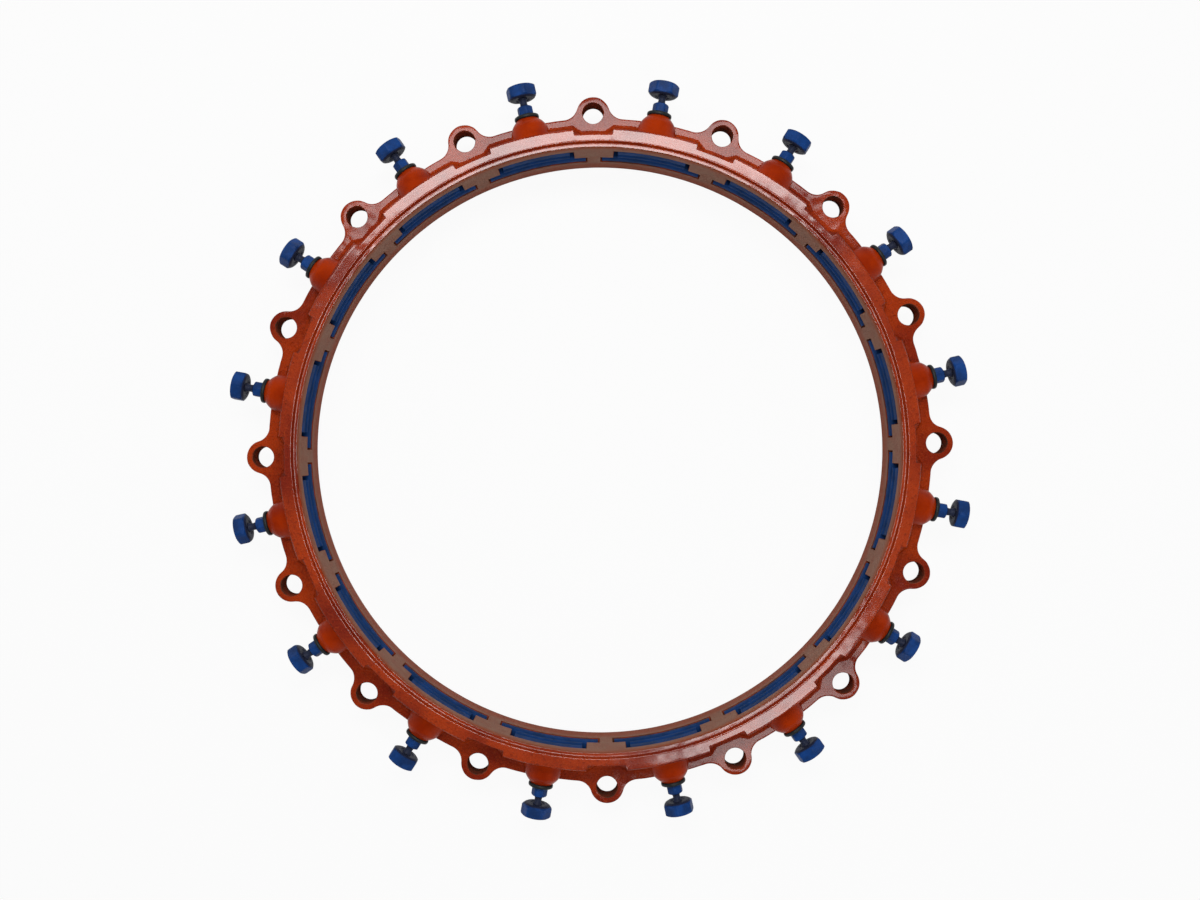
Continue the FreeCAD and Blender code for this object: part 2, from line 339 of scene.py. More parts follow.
class Tree:
    """Node tree of one material, with a Principled shader at its end."""

    def __init__(self, name: str) -> None:
        """Starts an empty material.

        Args:
            name: the material's name.
        """
        self.material = bpy.data.materials.new(name)
        self.material.use_nodes = True
        self.clear(self.material.node_tree, "ShaderNodeOutputMaterial", "Object")

    @classmethod
    def of_world(cls, world: bpy.types.World) -> "Tree":
        """The emptied tree of a world, whose place is the direction looked in.

        Args:
            world: the world, which uses nodes.

        Returns:
            The tree.
        """
        tree = cls.__new__(cls)
        tree.clear(world.node_tree, "ShaderNodeOutputWorld", "Generated")
        return tree

    def clear(self, graph: bpy.types.NodeTree, output: str, place: str) -> None:
        """Empties a node tree and adds its output and its coordinates.

        Args:
            graph: the node tree.
            output: type of the output node.
            place: name of the coordinates.
        """
        self.nodes = graph.nodes
        self.links = graph.links
        self.nodes.clear()
        self.output = self.nodes.new(output)
        self.place = self.node("ShaderNodeTexCoord", {}, pick=place)

    def node(self, kind: str, settings: dict[str, Any], *inputs: Any,
             pick: Union[str, int] = 0, **named: Any) -> Socket:
        """Adds a node.

        Args:
            kind: the node's type.
            settings: properties set before the sockets.
            inputs: values or sockets for the first inputs, in order.
            pick: name or number of the output to return.
            named: values or sockets by input name, with _ for spaces.

        Returns:
            The picked output.
        """
        made = self.nodes.new(kind)
        for key, value in settings.items():
            setattr(made, key, value)
        pairs = list(zip(made.inputs, inputs))
        pairs += [(made.inputs[key.replace("_", " ")], value) for key, value in named.items()]
        for target, value in pairs:
            self.feed(target, value)
        return Socket(self, made.outputs[pick])

    def feed(self, target: bpy.types.NodeSocket, value: Any) -> None:
        """Links a socket or sets a constant on an input.

        Args:
            target: the input.
            value: a socket to link, or a number, colour or vector to set.
        """
        if isinstance(value, Socket):
            self.links.new(value.link, target)
        elif isinstance(value, tuple) and len(value) == 3 and target.type == "RGBA":
            target.default_value = (*value, 1.0)
        else:
            target.default_value = value

    def noise(self, size: float, detail: float = 2.0, rough: float = 0.5) -> Socket:
        """Noise from 0 to 1 whose features are about size metres wide."""
        return self.node("ShaderNodeTexNoise", {}, Vector=self.place,
                         Scale=1 / size, Detail=detail, Roughness=rough)

    def cells(self, size: float) -> Socket:
        """Distance to the nearest random point, about size metres apart."""
        return self.node("ShaderNodeTexVoronoi", dict(feature="F1"),
                         Vector=self.place, Scale=1 / size, pick="Distance")

    def mix(self, share: Value, first: Any, second: Any) -> Socket:
        """Mixes two colours by a share from 0 to 1.

        Args:
            share: 0 gives the first, 1 the second.
            first: a colour or socket.
            second: a colour or socket.

        Returns:
            The mixed colour.
        """
        made = self.nodes.new("ShaderNodeMix")
        made.data_type = "RGBA"
        self.feed(made.inputs["Factor"], share)
        self.feed(made.inputs[6], first)
        self.feed(made.inputs[7], second)
        return Socket(self, made.outputs[2])

    def split(self, vector: Socket) -> tuple[Socket, Socket, Socket]:
        """The x, y and z of a vector.

        Args:
            vector: the vector's socket.

        Returns:
            Three sockets.
        """
        made = self.nodes.new("ShaderNodeSeparateXYZ")
        self.feed(made.inputs[0], vector)
        return tuple(Socket(self, out) for out in made.outputs)

    def upward(self) -> Socket:
        """How far the surface faces up, from -1 to 1."""
        return self.split(self.node("ShaderNodeNewGeometry", {}, pick="Normal"))[2]

    def bump(self, height: Socket, depth: float) -> Socket:
        """Normal bent by a height field whose full range is depth metres."""
        return self.node("ShaderNodeBump", {}, Strength=1.0, Distance=depth, Height=height)

    def finish(self, **named: Any) -> bpy.types.Material:
        """Ends the tree in a Principled shader with these inputs.

        Args:
            named: values or sockets by input name, with _ for spaces.

        Returns:
            The finished material.
        """
        shader = self.node("ShaderNodeBsdfPrincipled", {}, **named)
        self.links.new(shader.link, self.output.inputs["Surface"])
        return self.material


@dataclass(frozen=True)
class CastPaint:
    """Glossy red-orange paint over a rough sand-cast skin, dull brown in the bore, with painted
    shade in the crease between rim and pads.
    """

    colour: Colour = (0.375, 0.034, 0.001)
    deep: Colour = (0.20, 0.012, 0.001)
    pale: Colour = (0.48, 0.080, 0.014)
    # painted shade for the crease at the foot of the step between rim and pads
    crease_colour: Colour = (0.14, 0.014, 0.006)
    bore: Colour = (0.26, 0.138, 0.096)
    bore_streak: Colour = (0.25, 0.105, 0.070)
    bore_foot: Colour = (0.28, 0.082, 0.048)
    bore_mouth: Colour = (0.28, 0.060, 0.020)
    patch: float = 60 * MM
    streak: float = 14 * MM
    lump: float = 9 * MM
    pit: float = 5.5 * MM
    grain: float = 2.3 * MM
    relief: float = 4.2 * MM
    gloss: float = 0.42

    def material(self, bore_radius: float, step_radius: float) -> bpy.types.Material:
        """Builds the paint.

        Args:
            bore_radius: radius in metres inside which the wall is dull.
            step_radius: radius in metres of the crease between rim and pads, where painted shade
                darkens the paint.

        Returns:
            The material.
        """
        tree = Tree("cast_paint")
        x, y, z = tree.split(tree.place)
        radius = (x * x + y * y).sqrt()
        dull = radius.ramp(bore_radius + 0.7 * MM, bore_radius + 1.5 * MM, 1.0, 0.0)
        broad = tree.noise(self.patch, 3.0)
        grain = tree.noise(self.grain, 3.0, 0.6)
        pits = tree.cells(self.pit).ramp(0.10, 0.42)
        lumps = tree.noise(self.lump, 2.0)
        base = tree.mix(broad.ramp(0.35, 0.7), self.colour, self.deep)
        base = tree.mix(grain.ramp(0.52, 0.80) * 0.5, base, self.pale)
        base = tree.mix((1 - pits) * 0.4, base, self.deep)
        streaks = tree.noise(self.streak, 4.0, 0.65)
        # Browner, paler tone inside the bore, with streaks, redder towards its foot and its
        # mouth.
        bore_tone = tree.mix(streaks.ramp(0.3, 0.75), self.bore, self.bore_streak)
        bore_tone = tree.mix(z.ramp(12 * MM, 30 * MM), self.bore_foot, bore_tone)
        bore_tone = tree.mix(z.ramp(76 * MM, 92 * MM), bore_tone, self.bore_mouth)
        base = tree.mix(dull, base, bore_tone)
        # Painted shade: the paint in the crease at the step between rim and pads is darkened, and
        # the same band loses its coat.
        crease = radius.ramp(step_radius - 1.6 * MM, step_radius - 0.5 * MM)
        crease = crease * radius.ramp(step_radius + 0.6 * MM, step_radius + 1.8 * MM, 1.0, 0.0)
        crease = crease * z.ramp(85 * MM, 88 * MM)
        base = tree.mix(crease * 0.4, base, self.crease_colour)
        height = grain * 0.70 + pits * 0.15 + lumps * 0.30
        height = height * (1 - dull * 0.6)
        coat = tree.upward().ramp(0.80, 0.975) * z.ramp(55 * MM, 88 * MM, 0.4, 1.0)
        return tree.finish(
            Base_Color=base,
            Roughness=broad.ramp(0.2, 0.8, self.gloss - 0.05, self.gloss + 0.10) + dull * 0.30,
            Normal=tree.bump(height, self.relief),
            Specular_IOR_Level=0.06,
            Coat_Weight=coat * (1 - dull) * (1 - crease * 0.95),
            Coat_Roughness=0.14,
            Coat_IOR=1.58,
        )


@dataclass(frozen=True)
class BossPaint:
    """Thicker, smoother coat of the same paint where it pooled on the round bosses."""

    colour: Colour = (0.33, 0.026, 0.001)
    deep: Colour = (0.20, 0.012, 0.001)
    patch: float = 22 * MM
    ripple: float = 4 * MM
    relief: float = 0.5 * MM

    def material(self) -> bpy.types.Material:
        """Builds the paint.

        Returns:
            The material.
        """
        tree = Tree("boss_paint")
        broad = tree.noise(self.patch, 2.0)
        fine = tree.noise(self.ripple, 2.0)
        base = tree.mix(broad.ramp(0.35, 0.75) * 0.8, self.colour, self.deep)
        return tree.finish(
            Base_Color=base,
            Roughness=fine.ramp(0.3, 0.8, 0.26, 0.40),
            Normal=tree.bump(fine * 0.4 + broad, self.relief),
            Specular_IOR_Level=0.06,
        )


@dataclass(frozen=True)
class PocketPaint:
    """Thin overspray on the raw cast faces inside the wedge pockets and holes."""

    colour: Colour = (0.26, 0.046, 0.020)
    raw: Colour = (0.110, 0.042, 0.026)
    patch: float = 12 * MM
    grain: float = 2.2 * MM
    relief: float = 0.6 * MM

    def material(self) -> bpy.types.Material:
        """Builds the overspray.

        Returns:
            The material.
        """
        tree = Tree("pocket_overspray")
        patches = tree.noise(self.patch, 4.0, 0.6)
        grain = tree.noise(self.grain, 3.0)
        return tree.finish(
            Base_Color=tree.mix(patches.ramp(0.35, 0.65), self.colour, self.raw),
            Roughness=patches.ramp(0.3, 0.7, 0.5, 0.75),
            Normal=tree.bump(grain + patches, self.relief),
            Specular_IOR_Level=0.0,
        )


@dataclass(frozen=True)
class BlueCoat:
    """Satin blue coating with small scuffs, darkened by painted shade where a piece's share of
    shade is 1.
    """

    name: str
    colour: Colour
    shade: Colour
    gloss: float
    shine: float
    grain: float
    depth: float
    scuffed: Colour = (0.07, 0.13, 0.24)
    # painted shade under the screw head and round its neck
    steel: Colour = (0.020, 0.017, 0.012)
    patch: float = 16 * MM
    scuff: float = 3.2 * MM

    def material(self) -> bpy.types.Material:
        """Builds the coating.

        Returns:
            The material.
        """
        tree = Tree(self.name)
        broad = tree.noise(self.patch, 3.0, 0.6)
        grain = tree.noise(self.grain, 3.0, 0.55)
        scuffs = tree.noise(self.scuff, 5.0, 0.75).ramp(0.60, 0.74)
        base = tree.mix(broad.ramp(0.3, 0.7), self.colour, self.shade)
        base = tree.mix(scuffs * 0.35, base, self.scuffed)
        # Painted shade: darkens the coat where the piece's share of shade is high.
        bare = tree.node("ShaderNodeAttribute", dict(attribute_name="bare"), pick="Fac")
        base = tree.mix(bare * (1 - broad * 0.5), base, self.steel)
        return tree.finish(
            Base_Color=base,
            Roughness=grain.ramp(0.3, 0.8, self.gloss, self.gloss + 0.16) + scuffs * 0.12,
            Normal=tree.bump(grain * 0.6 + broad * 0.8, self.depth),
            Specular_IOR_Level=self.shine,
        )


@dataclass(frozen=True)
class SealRubber:
    """Black moulded rubber with a faint bloom."""

    colour: Colour = (0.008, 0.011, 0.012)
    bloom: Colour = (0.022, 0.024, 0.024)
    cloud: float = 8 * MM
    grain: float = 0.8 * MM
    relief: float = 0.05 * MM

    def material(self) -> bpy.types.Material:
        """Builds the rubber.

        Returns:
            The material.
        """
        tree = Tree("seal_rubber")
        cloud = tree.noise(self.cloud, 4.0, 0.6)
        fine = tree.noise(self.grain, 2.0)
        return tree.finish(
            Base_Color=tree.mix(cloud.ramp(0.45, 0.8) * 0.6, self.colour, self.bloom),
            Roughness=cloud.ramp(0.3, 0.7, 0.42, 0.58),
            Normal=tree.bump(fine, self.relief),
            Specular_IOR_Level=0.25,
        )


@dataclass
class Casting:
    """The ring casting: one section carried round the axis, with ears, pads and housings."""

    bore: float
    bolt_circle: float
    bolt_hole: float
    lip_height: float = 24 * MM
    flange_top: float = 50 * MM
    top: float = 95 * MM
    lip_wall: float = 13 * MM
    bore_draft: float = 0.6 * MM
    rim_width: float = 5.2 * MM
    rim_drop: float = 3.6 * MM
    step_width: float = 0.9 * MM
    pad_width: float = 13.7 * MM
    narrow_width: float = 8.2 * MM
    spread: float = 13.6 * MM
    flange_inset: float = 5.5 * MM
    ear_wall: float = 7.15 * MM
    ear_blend: float = 17 * MM
    pad_arc: float = math.radians(15.3)
    gap_spread: float = 11.5 * MM
    corner_width: float = 9 * MM
    pad_end: float = math.radians(0.16)
    past_pad: float = 30 * MM
    edge_round: float = 1.8 * MM
    foot_round: float = 2.6 * MM
    skin_waves: float = 0.7 * MM
    window_base: float = 27.8 * MM
    wing_width: float = 115 * MM
    wing_height: float = 20.2 * MM
    centre_width: float = 86.4 * MM
    window_height: float = 46.6 * MM
    pocket_depth: float = 22.6 * MM
    pocket_fall: float = 6 * MM
    screw_height: float = 52 * MM
    boss_radius: float = 20.5 * MM
    boss_face: float = 381 * MM
    boss_face_radius: float = 12.4 * MM
    boss_root: float = 24 * MM
    dome_length: float = 10.5 * MM
    screw_bore: float = 9.575 * MM

    def outline(self, angle: Array) -> Array:
        """Flange edge radius at angles from an ear's centre line.

        A ray from the ring's centre meets the ear's circle, then the hollow circle that
        blends the ear into the edge, then the round edge itself.

        Args:
            angle: radians from the nearest ear, as an array.

        Returns:
            Radii in metres.
        """
        edge = self.bolt_circle - self.flange_inset
        ear = self.bolt_hole + self.ear_wall
        far = edge + self.ear_blend
        apart = ear + self.ear_blend
        along = (far**2 - apart**2 + self.bolt_circle**2) / (2 * self.bolt_circle)
        across = math.sqrt(far**2 - along**2)
        touch_x = across * ear / apart
        touch_y = self.bolt_circle + (along - self.bolt_circle) * ear / apart
        turn = np.abs(angle)
        on_ear = self.bolt_circle * np.cos(turn) + np.sqrt(
            np.maximum(ear**2 - (self.bolt_circle * np.sin(turn)) ** 2, 0))
        near = across * np.sin(turn) + along * np.cos(turn)
        off = across * np.cos(turn) - along * np.sin(turn)
        on_blend = near - np.sqrt(np.maximum(self.ear_blend**2 - off**2, 0))
        result = np.where(turn < math.atan2(touch_x, touch_y), on_ear, on_blend)
        return np.where(turn > math.atan2(across, along), edge, result)

    def wall(self, angle: Array, height: Array) -> Array:
        """Housing wall radius at angles from an ear and heights above the flange.

        It is the sloping pad wall, and between two pads the steeper wall under the narrow
        band, whose foot runs out to the pad wall's foot in each corner. Past a pad's end the
        steeper wall is moved far out by a smooth step, so the smaller of the two is the pad's.

        Args:
            angle: radians from the nearest ear, one column.
            height: metres, one row.

        Returns:
            Radii in metres, one row for each angle.
        """
        fall = (self.top - height) / (self.top - self.flange_top)
        pad = self.bore + self.rim_width + self.step_width + self.pad_width
        narrow = pad - self.pad_width + self.narrow_width
        past_end = np.abs(angle) - (PITCH - self.pad_arc) / 2
        near = np.clip(1 + past_end * narrow / self.corner_width, 0, 1)
        foot = narrow + self.gap_spread + near * (pad + self.spread - narrow - self.gap_spread)
        beyond = np.clip(past_end / self.pad_end + 0.5, 0, 1)
        beyond = beyond * beyond * (3 - 2 * beyond) * self.past_pad
        return soft_min(pad + fall * self.spread + 0 * angle,
                        narrow + fall * (foot - narrow) + beyond, 0.5 * MM)

    def profile(self, angle: Array) -> Array:
        """Closed section of the ring at each angle from an ear.

        The section runs up the bore, over the rim and the band, down the housing wall, out
        over the flange, round its edge and back under the lip. Corners are quarter rounds.

        Args:
            angle: radians from the nearest ear.

        Returns:
            Array (angles, points, 2) of radius and height in metres.
        """
        turn = angle[:, None]
        one = np.ones_like(turn)
        rounding = self.edge_round
        rim_top = self.top - self.rim_drop
        step = self.bore + self.rim_width
        band = step + self.step_width
        edge = self.outline(angle)[:, None]
        runs: list[tuple[Array, Array]] = []

        def add(radius: Any, height: Any) -> None:
            """Adds points of the section, the same count at every angle."""
            r, z = np.broadcast_arrays(radius * one, height * one)
            runs.append((r, z))

        def bend(r: Any, z: Any, start: float, stop: float, size: float, count: int) -> None:
            """Adds an arc about (r, z) between two angles in degrees."""
            sweep = np.radians(np.linspace(start, stop, count))[None, :]
            add(r + size * np.cos(sweep), z + size * np.sin(sweep))

        # the bore, its rounded mouth and the low rim
        climb = np.linspace(1.2 * MM, rim_top - 2 * rounding, 9)[None, :]
        mouth = self.bore + self.bore_draft
        add(np.interp(climb, [self.lip_height, rim_top], [self.bore, mouth]), climb)
        bend(mouth + rounding * 0.5, rim_top - rounding * 0.5, 180, 90, rounding * 0.5, 4)
        add(np.linspace(mouth + 1.8 * MM, step - 0.7 * MM, 3)[None, :], rim_top)
        # the step up from the rim, and the pads' and bands' flat top
        add(step, rim_top + 0.35 * MM)
        add(step + 0.25 * MM, self.top - 1.6 * MM)
        bend(band + 0.9 * MM, self.top - 1.0 * MM, 165, 90, 1.0 * MM, 4)
        shoulder = self.wall(turn, np.full((1, 1), self.top - rounding))
        inner = band + 2.2 * MM
        spread = np.linspace(0, 1, 6)[None, :]
        add(inner + (shoulder - rounding - inner) * spread, self.top)
        bend(shoulder - rounding, self.top - rounding, 72, 12, rounding, 3)
        # the housing's wall and the hollow at its foot
        heights = np.linspace(self.top - 1.6 * rounding, self.flange_top + self.foot_round, 13)
        add(self.wall(turn, heights[None, :]), heights[None, :])
        foot = self.wall(turn, np.full((1, 1), self.flange_top))
        sweep = np.radians(np.linspace(200, 262, 3))[None, :]
        add(foot + self.foot_round * (1.05 + np.cos(sweep)),
            self.flange_top + self.foot_round * (1 + np.sin(sweep)))
        # the flange's top, edge and underside
        start = foot + self.foot_round * 1.3
        spread = np.linspace(0.06, 1, 7)[None, :]
        add(start + (edge - rounding - start) * spread, self.flange_top)
        bend(edge - rounding, self.flange_top - rounding, 66, 8, rounding, 3)
        descent = np.linspace(self.flange_top - 2 * rounding, self.lip_height + 2 * rounding, 4)
        add(edge, descent[None, :])
        bend(edge - rounding, self.lip_height + rounding, -8, -66, rounding, 3)
        lip = self.bore + self.lip_wall
        spread = np.linspace(0, 1, 6)[None, :]
        add(edge - rounding + (lip + 2 * MM - edge + rounding) * spread, self.lip_height)
        # the lip that enters the bell, with its bevel
        bend(lip + 1.5 * MM, self.lip_height - 1.5 * MM, 120, 165, 1.5 * MM, 2)
        add(lip, np.linspace(20 * MM, 10 * MM, 2)[None, :])
        add(np.linspace(lip - 0.4 * MM, lip - 3.7 * MM, 3)[None, :],
            np.linspace(8 * MM, 0.8 * MM, 3)[None, :])
        add(np.linspace(lip - 4.6 * MM, self.bore + 1.2 * MM, 3)[None, :], 0.0)
        radii = np.concatenate([run[0] for run in runs], axis=1)
        return np.stack([radii, np.concatenate([run[1] for run in runs], axis=1)], axis=-1)

    def angles(self) -> Array:
        """Angles round the ring, closer together where an ear or a pad's end turns quickly.

        Returns:
            Radians clockwise from +Y, in rising order.
        """
        half = PITCH / 2
        pad_start = math.degrees(half - self.pad_arc / 2)
        marks = [0, 2.2, 3.3, pad_start - 0.2, pad_start + 0.2, 5.3, math.degrees(half)]
        steps = [6, 7, 1, 4, 5, 9]
        parts = [np.linspace(marks[i], marks[i + 1], steps[i], endpoint=False)
                 for i in range(len(steps))]
        one_side = np.radians(np.concatenate(parts))
        both = np.sort(np.concatenate([one_side, [half], -one_side[:0:-1]]))
        return (np.arange(STATIONS)[:, None] * PITCH + both[None, :]).reshape(-1)

    def skin(self) -> Surface:
        """The whole turned skin, with the waviness that sand moulding leaves.

        Returns:
            The closed skin.
        """
        angle = self.angles()
        local = (angle + PITCH / 2) % PITCH - PITCH / 2
        section = self.profile(local)
        radius, height = section[..., 0], section[..., 1]
        grid = np.stack([radius * np.sin(angle)[:, None], radius * np.cos(angle)[:, None],
                         height], axis=-1)
        across = np.roll(grid, -1, axis=1) - np.roll(grid, 1, axis=1)
        along = np.roll(grid, -1, axis=0) - np.roll(grid, 1, axis=0)
        normal = np.cross(along, across)
        normal /= np.maximum(np.linalg.norm(normal, axis=-1, keepdims=True), 1e-12)
        outward = np.sum(normal[..., :2] * grid[..., :2], axis=-1)
        widest = radius.mean(axis=0).argmax()
        if outward[:, widest].mean() < 0:
            normal = -normal
        waves = 0.55 * smooth_noise(grid, 26 * MM, 3) + 0.45 * smooth_noise(grid, 7 * MM, 8)
        seat = np.clip((radius - self.bore) / (1.5 * MM), 0.15, 1)
        return Surface.tube(grid - normal * (waves * seat * self.skin_waves)[..., None], False)

    def pocket(self) -> Surface:
        """Cutter of one wedge window and its pocket, a stepped block with a leaning back.

        Returns:
            The cutter's skin, on +Y.
        """
        wing, centre = self.wing_width / 2, self.centre_width / 2
        base, top = self.window_base, self.window_base + self.window_height
        step = base + self.wing_height
        front = np.array([(-wing, base), (wing, base), (wing, step), (centre, step),
                          (centre, top), (-centre, top), (-centre, step), (-wing, step)])
        back = self.bore + self.pocket_depth
        back = back - self.pocket_fall * (front[:, 1] - base) / self.window_height
        near = np.column_stack([front[:, 0], np.full(len(front), 0.95 * self.bore), front[:, 1]])
        far = np.column_stack([front[:, 0], back, front[:, 1]])
        return Surface.tube(np.stack([near, far]), True)

    def boss(self) -> Surface:
        """One round boss on +Y: a turned profile, flared at its root, with a domed end.

        Over the dome the radius is face + (full - face) (1 - t^1.5), where t runs from 0 at
        the boss's shoulder to 1 at its face.

        Returns:
            The boss's skin.
        """
        root, face = self.bore + self.boss_root, self.boss_face
        t = np.linspace(0, 1, 11)
        drop = 1 - t**1.5
        dome = self.boss_face_radius + (self.boss_radius - self.boss_face_radius) * drop
        flare = np.array([4.5, 3.0, 1.6, 0.6]) * MM
        radii = np.concatenate([self.boss_radius + flare, dome,
                                [self.boss_face_radius - 1.0 * MM]])
        along = np.concatenate([[root, face - 21 * MM, face - 16 * MM, face - 12.5 * MM],
                                face + self.dome_length * (t - 1), [face]])
        turn = np.linspace(0, 2 * math.pi, 48, endpoint=False)
        grid = np.stack([radii[:, None] * np.cos(turn), along[:, None] + 0 * turn,
                         self.screw_height + radii[:, None] * np.sin(turn)], axis=-1)
        waves = smooth_noise(grid, 11 * MM, 5)[..., None]
        middle = np.array([0, 1, 0]) * grid + np.array([0, 0, self.screw_height])
        return Surface.tube(grid + (middle - grid) * waves * 0.03, True)

    def upright_hole(self) -> Surface:
        """Cutter of one bolt hole, flared at both faces so that its edges are rounded.

        Returns:
            The cutter's skin, on +Y.
        """
        flare = np.radians(np.linspace(0, 90, 4))
        size = 1.6 * MM
        low, high = self.lip_height, self.flange_top
        radii = np.concatenate([
            [self.bolt_hole + size], self.bolt_hole + size * (1 - np.sin(flare)),
            self.bolt_hole + size * (1 - np.cos(flare)), [self.bolt_hole + size]])
        heights = np.concatenate([
            [low - 2 * MM], low + size * (1 - np.cos(flare)),
            high - size + size * np.sin(flare), [high + 2 * MM]])
        turn = np.linspace(0, 2 * math.pi, 40, endpoint=False)
        grid = np.stack([radii[:, None] * np.cos(turn),
                         self.bolt_circle + radii[:, None] * np.sin(turn),
                         heights[:, None] + 0 * turn], axis=-1)
        return Surface.tube(grid, True)

    def radial_hole(self) -> Surface:
        """Cutter of one screw bore, from the pocket out through the boss.

        Returns:
            The cutter's skin, on +Y.
        """
        turn = np.linspace(0, 2 * math.pi, 40, endpoint=False)
        along = np.array([self.bore + 8 * MM, self.boss_face + 4 * MM])[:, None]
        grid = np.stack([self.screw_bore * np.cos(turn) + 0 * along, along + 0 * turn,
                         self.screw_height + self.screw_bore * np.sin(turn) + 0 * along], axis=-1)
        return Surface.tube(grid, True)

    def build(self) -> bpy.types.Object:
        """Makes the casting, cuts its windows and holes, and dresses it.

        Returns:
            The finished casting.
        """
        piece = make_object("ring_casting", self.skin())
        bosses = make_object("bosses", self.boss().ringed(0.5))
        holes = Surface.joined([self.pocket().ringed(0.5), self.upright_hole().ringed(0)])
        pockets = make_object("pockets", holes)
        bores = make_object("bores", self.radial_hole().ringed(0.5))
        paint = CastPaint().material(self.bore, self.bore + self.rim_width)
        finishes = [paint, BossPaint().material(), PocketPaint().material()]
        for thing, zone in ((piece, Zone.SKIN), (bosses, Zone.BOSS), (pockets, Zone.POCKET),
                            (bores, Zone.POCKET)):
            thing.data.materials.append(finishes[zone.value])
        combine(piece, bosses, "UNION")
        combine(piece, pockets, "DIFFERENCE")
        combine(piece, bores, "DIFFERENCE")
        smooth(piece.data, 38.0)
        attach(piece, "gland")
        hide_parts("gland_ring")
        return piece


@dataclass
class Screws:
    """The driving screws: thread, small hexagon, thin neck and break-off head, one grid each."""

    height: float = 52 * MM
    tip: float = 346.07 * MM
    thread_radius: float = 9.5 * MM
    thread_depth: float = 1.35 * MM
    lead: float = 2.54 * MM
    hex_start: float = 385.5 * MM
    small_flats: float = 15.9 * MM
    small_length: float = 10.8 * MM
    neck_radius: float = 4.3 * MM
    neck_length: float = 8.2 * MM
    head_flats: float = 30.4 * MM
    head_length: float = 14.5 * MM
    spin_step: float = math.radians(23.0)
    around: int = 60

    def rows(self) -> Array:
        """Rows of the grid from tip to head.

        Returns:
            Array (rows, 4): distance from the ring's axis, round limit on the radius, width
            across flats (or a large number where round) and thread depth.
        """
        plain = 1.0
        start, end = self.tip, self.hex_start
        neck = end + self.small_length
        head = neck + self.neck_length
        far = head + self.head_length
        small = self.small_flats / math.sqrt(3) - 0.25 * MM
        big = self.head_flats / math.sqrt(3) - 0.35 * MM
        across, flat = self.head_flats, self.head_flats / 2
        thread = self.thread_radius
        point = [(start, 0.0, plain), (start, thread - 2.2 * MM, plain),
                 (start + 0.9 * MM, thread - 1.3 * MM, plain)]
        count = int((end - start - 3 * MM) / self.lead * 4)
        shaft = [(along, thread, plain)
                 for along in np.linspace(start + 1.6 * MM, end - 1.2 * MM, count)]
        heads = [
            (end - 0.8 * MM, thread, plain),
            (end - 0.1 * MM, thread - 0.5 * MM, plain),
            (end, small * 0.97, self.small_flats),
            (end + 0.5 * MM, small, self.small_flats),
            (neck - 1.7 * MM, small, self.small_flats),
            (neck - 0.8 * MM, small - 0.7 * MM, self.small_flats),
            (neck - 0.15 * MM, small - 1.9 * MM, self.small_flats),
            (neck, small - 2.6 * MM, plain),
            (neck + 0.25 * MM, self.neck_radius + 0.8 * MM, plain),
            (neck + 1.1 * MM, self.neck_radius + 0.1 * MM, plain),
            (neck + 3.6 * MM, self.neck_radius - 0.35 * MM, plain),
            (head - 1.8 * MM, self.neck_radius + 0.05 * MM, plain),
            (head - 0.2 * MM, self.neck_radius + 0.9 * MM, plain),
            (head + 0.9 * MM, self.neck_radius + 1.2 * MM, plain),
            (head + 0.9 * MM, self.neck_radius + 3.4 * MM, plain),
            (head + 0.1 * MM, self.neck_radius + 4.4 * MM, plain),
            (head, flat - 3.6 * MM, plain),
            (head + 0.2 * MM, flat - 2.2 * MM, plain),
            (head + 1.1 * MM, flat - 0.6 * MM, across),
            (head + 2.0 * MM, flat + 0.5 * MM, across),
            (head + 3.0 * MM, flat + 1.6 * MM, across),
            (head + 3.8 * MM, big, across),
            (far - 1.7 * MM, big, across),
            (far - 1.1 * MM, big - 0.5 * MM, across),
            (far - 0.6 * MM, flat + 0.7 * MM, across),
            (far - 0.25 * MM, flat - 0.2 * MM, across),
            (far - 0.05 * MM, flat - 1.2 * MM, plain),
            (far, flat - 2.4 * MM, plain),
            (far, flat - 5.0 * MM, plain),
            (far - 0.5 * MM, flat - 6.5 * MM, plain),
            (far - 0.6 * MM, 0.0, plain),
        ]
        depth = np.repeat([0.0, self.thread_depth, 0.0], [len(point), count, len(heads)])
        return np.column_stack([np.array(point + shaft + heads), depth])

    def skin(self, spin: float) -> Surface:
        """One screw on +Y, turned by spin about its own axis.

        The radius at a turn is the round limit or the hexagon's flat divided by the cosine
        of the turn from the flat's middle, whichever is less, and on the thread less a
        helical wave of the row's depth.

        Args:
            spin: radians by which a corner lies below +X.

        Returns:
            The screw's skin.
        """
        rows = self.rows()
        turn = np.linspace(0, 2 * math.pi, self.around, endpoint=False)
        along, limit, flats, depth = (rows[:, i][:, None] for i in range(4))
        sector = math.pi / 3
        from_flat = (turn[None, :] % sector) - sector / 2
        radius = np.minimum(limit, flats / 2 / np.cos(from_flat))
        wave = np.abs((along / self.lead - turn[None, :] / (2 * math.pi)) % 1 * 2 - 1)
        radius = radius - depth * wave
        facing = turn[None, :] - spin
        grid = np.stack([radius * np.cos(facing), along + 0 * facing,
                         self.height + radius * np.sin(facing)], axis=-1)
        neck = self.hex_start + self.small_length
        inner = neck + self.neck_length + 1.5 * MM
        # Painted shade under the head and round the neck, one share for each ring.
        bare = ((rows[:, 0] > neck - 0.1 * MM) & (rows[:, 0] < inner)).astype(float)
        return Surface.tube(grid, True, bare)

